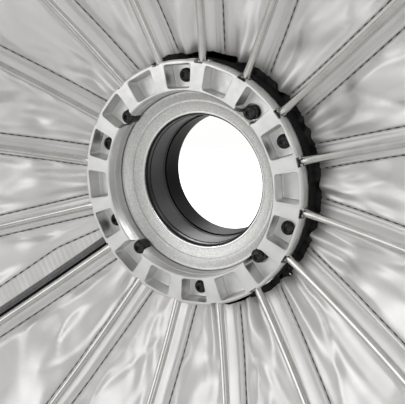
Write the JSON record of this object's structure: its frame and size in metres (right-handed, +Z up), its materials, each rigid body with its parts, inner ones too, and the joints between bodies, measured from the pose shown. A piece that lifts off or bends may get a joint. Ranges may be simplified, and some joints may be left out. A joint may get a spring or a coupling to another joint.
{
  "type": "octabox",
  "caption": "Folding deep parabolic softbox: bowed rods hinged in a round aluminium speedring that turns on an adapter cup, with a silver-lined black fabric canopy.",
  "frame": {"origin": "centre of the adapter's rear face, on the optical axis", "axes": "+Y along the optical axis to the light head, the bowl opens to -Y, +Z up"},
  "size_m": [1.1962, 0.5557, 1.1962],
  "materials": {
    "machined_aluminium": "satin machined",
    "cast_aluminium": "sand cast, lip machined",
    "rod_steel": "satin",
    "screw_steel": "black oxide",
    "black_anodised": "black anodised",
    "dark_grey_plastic": "matte",
    "black_plastic": "matte",
    "canopy_fabric": "silver-coated lining, black outside",
    "black_fabric": "black band",
    "hook_tape": "dark grey hook tape"
  },
  "bodies": {
    "adapter": {"adapter_cup": "cast_aluminium", "bore_trim_ring": "black_anodised", "bore_sleeve_front": "dark_grey_plastic", "bore_sleeve_rear": "black_plastic"},
    "speedring": {"speedring_front": "machined_aluminium", "speedring_back": "machined_aluminium", "ring_collar": "black_fabric", "clamp_screw_1": "screw_steel", "clamp_screw_2": "screw_steel", "clamp_screw_3": "screw_steel", "clamp_screw_4": "screw_steel", "clamp_screw_5": "screw_steel", "clamp_screw_6": "screw_steel", "retaining_screw_1": "screw_steel", "retaining_screw_2": "screw_steel", "retaining_screw_3": "screw_steel", "retaining_screw_4": "screw_steel"},
    "rib_01": {"rod_01": "rod_steel", "gore_01": "canopy_fabric"},
    "rib_02": {"rod_02": "rod_steel", "gore_02": "canopy_fabric"},
    "rib_03": {"rod_03": "rod_steel", "gore_03": "canopy_fabric"},
    "rib_04": {"rod_04": "rod_steel", "gore_04": "canopy_fabric"},
    "rib_05": {"rod_05": "rod_steel", "gore_05": "canopy_fabric"},
    "rib_06": {"rod_06": "rod_steel", "gore_06": "canopy_fabric"},
    "rib_07": {"rod_07": "rod_steel", "gore_07": "canopy_fabric"},
    "rib_08": {"rod_08": "rod_steel", "gore_08": "canopy_fabric"},
    "rib_09": {"rod_09": "rod_steel", "gore_09": "canopy_fabric"},
    "rib_10": {"rod_10": "rod_steel", "gore_10": "canopy_fabric"},
    "rib_11": {"rod_11": "rod_steel", "gore_11": "canopy_fabric", "hook_strip": "hook_tape", "closing_flap": "canopy_fabric"},
    "rib_12": {"rod_12": "rod_steel", "gore_12": "canopy_fabric"},
    "rib_13": {"rod_13": "rod_steel", "gore_13": "canopy_fabric"},
    "rib_14": {"rod_14": "rod_steel", "gore_14": "canopy_fabric"},
    "rib_15": {"rod_15": "rod_steel", "gore_15": "canopy_fabric"},
    "rib_16": {"rod_16": "rod_steel", "gore_16": "canopy_fabric"}
  },
  "joints": [
    {"name": "ring_rotation", "type": "hinge", "parent": "adapter", "child": "speedring", "pos_m": [0, -0.0519, 0], "axis": [0, 1, 0], "continuous": true},
    {"name": "fold_01", "type": "hinge", "parent": "speedring", "child": "rib_01", "pos_m": [0.01087, -0.0635, 0.08854], "axis": [0.9925, 0, -0.1219], "range_deg": [0, 48], "deforming": ["gore_01"]},
    {"name": "fold_02", "type": "hinge", "parent": "speedring", "child": "rib_02", "pos_m": [0.04392, -0.0635, 0.07764], "axis": [0.8704, 0, -0.4924], "range_deg": [0, 48], "deforming": ["gore_02"]},
    {"name": "fold_03", "type": "hinge", "parent": "speedring", "child": "rib_03", "pos_m": [0.07029, -0.0635, 0.05492], "axis": [0.6157, 0, -0.788], "range_deg": [0, 48], "deforming": ["gore_03"]},
    {"name": "fold_04", "type": "hinge", "parent": "speedring", "child": "rib_04", "pos_m": [0.08596, -0.0635, 0.02384], "axis": [0.2672, 0, -0.9636], "range_deg": [0, 48], "deforming": ["gore_04"]},
    {"name": "fold_05", "type": "hinge", "parent": "speedring", "child": "rib_05", "pos_m": [0.08854, -0.0635, -0.01087], "axis": [-0.1219, 0, -0.9925], "range_deg": [0, 48], "deforming": ["gore_05"]},
    {"name": "fold_06", "type": "hinge", "parent": "speedring", "child": "rib_06", "pos_m": [0.07764, -0.0635, -0.04392], "axis": [-0.4924, 0, -0.8704], "range_deg": [0, 48], "deforming": ["gore_06"]},
    {"name": "fold_07", "type": "hinge", "parent": "speedring", "child": "rib_07", "pos_m": [0.05492, -0.0635, -0.07029], "axis": [-0.788, 0, -0.6157], "range_deg": [0, 48], "deforming": ["gore_07"]},
    {"name": "fold_08", "type": "hinge", "parent": "speedring", "child": "rib_08", "pos_m": [0.02384, -0.0635, -0.08596], "axis": [-0.9636, 0, -0.2672], "range_deg": [0, 48], "deforming": ["gore_08"]},
    {"name": "fold_09", "type": "hinge", "parent": "speedring", "child": "rib_09", "pos_m": [-0.01087, -0.0635, -0.08854], "axis": [-0.9925, 0, 0.1219], "range_deg": [0, 48], "deforming": ["gore_09"]},
    {"name": "fold_10", "type": "hinge", "parent": "speedring", "child": "rib_10", "pos_m": [-0.04392, -0.0635, -0.07764], "axis": [-0.8704, 0, 0.4924], "range_deg": [0, 48], "deforming": ["gore_10"]},
    {"name": "fold_11", "type": "hinge", "parent": "speedring", "child": "rib_11", "pos_m": [-0.07029, -0.0635, -0.05492], "axis": [-0.6157, 0, 0.788], "range_deg": [0, 48], "deforming": ["gore_11", "hook_strip", "closing_flap"]},
    {"name": "fold_12", "type": "hinge", "parent": "speedring", "child": "rib_12", "pos_m": [-0.08596, -0.0635, -0.02384], "axis": [-0.2672, 0, 0.9636], "range_deg": [0, 48], "deforming": ["gore_12"]},
    {"name": "fold_13", "type": "hinge", "parent": "speedring", "child": "rib_13", "pos_m": [-0.08854, -0.0635, 0.01087], "axis": [0.1219, 0, 0.9925], "range_deg": [0, 48], "deforming": ["gore_13"]},
    {"name": "fold_14", "type": "hinge", "parent": "speedring", "child": "rib_14", "pos_m": [-0.07764, -0.0635, 0.04392], "axis": [0.4924, 0, 0.8704], "range_deg": [0, 48], "deforming": ["gore_14"]},
    {"name": "fold_15", "type": "hinge", "parent": "speedring", "child": "rib_15", "pos_m": [-0.05492, -0.0635, 0.07029], "axis": [0.788, 0, 0.6157], "range_deg": [0, 48], "deforming": ["gore_15"]},
    {"name": "fold_16", "type": "hinge", "parent": "speedring", "child": "rib_16", "pos_m": [-0.02384, -0.0635, 0.08596], "axis": [0.9636, 0, 0.2672], "range_deg": [0, 48], "deforming": ["gore_16"]}
  ],
  "couplings": [
    {"joint": "fold_02", "follows": "fold_01", "ratio": 1},
    {"joint": "fold_03", "follows": "fold_01", "ratio": 1},
    {"joint": "fold_04", "follows": "fold_01", "ratio": 1},
    {"joint": "fold_05", "follows": "fold_01", "ratio": 1},
    {"joint": "fold_06", "follows": "fold_01", "ratio": 1},
    {"joint": "fold_07", "follows": "fold_01", "ratio": 1},
    {"joint": "fold_08", "follows": "fold_01", "ratio": 1},
    {"joint": "fold_09", "follows": "fold_01", "ratio": 1},
    {"joint": "fold_10", "follows": "fold_01", "ratio": 1},
    {"joint": "fold_11", "follows": "fold_01", "ratio": 1},
    {"joint": "fold_12", "follows": "fold_01", "ratio": 1},
    {"joint": "fold_13", "follows": "fold_01", "ratio": 1},
    {"joint": "fold_14", "follows": "fold_01", "ratio": 1},
    {"joint": "fold_15", "follows": "fold_01", "ratio": 1},
    {"joint": "fold_16", "follows": "fold_01", "ratio": 1}
  ]
}
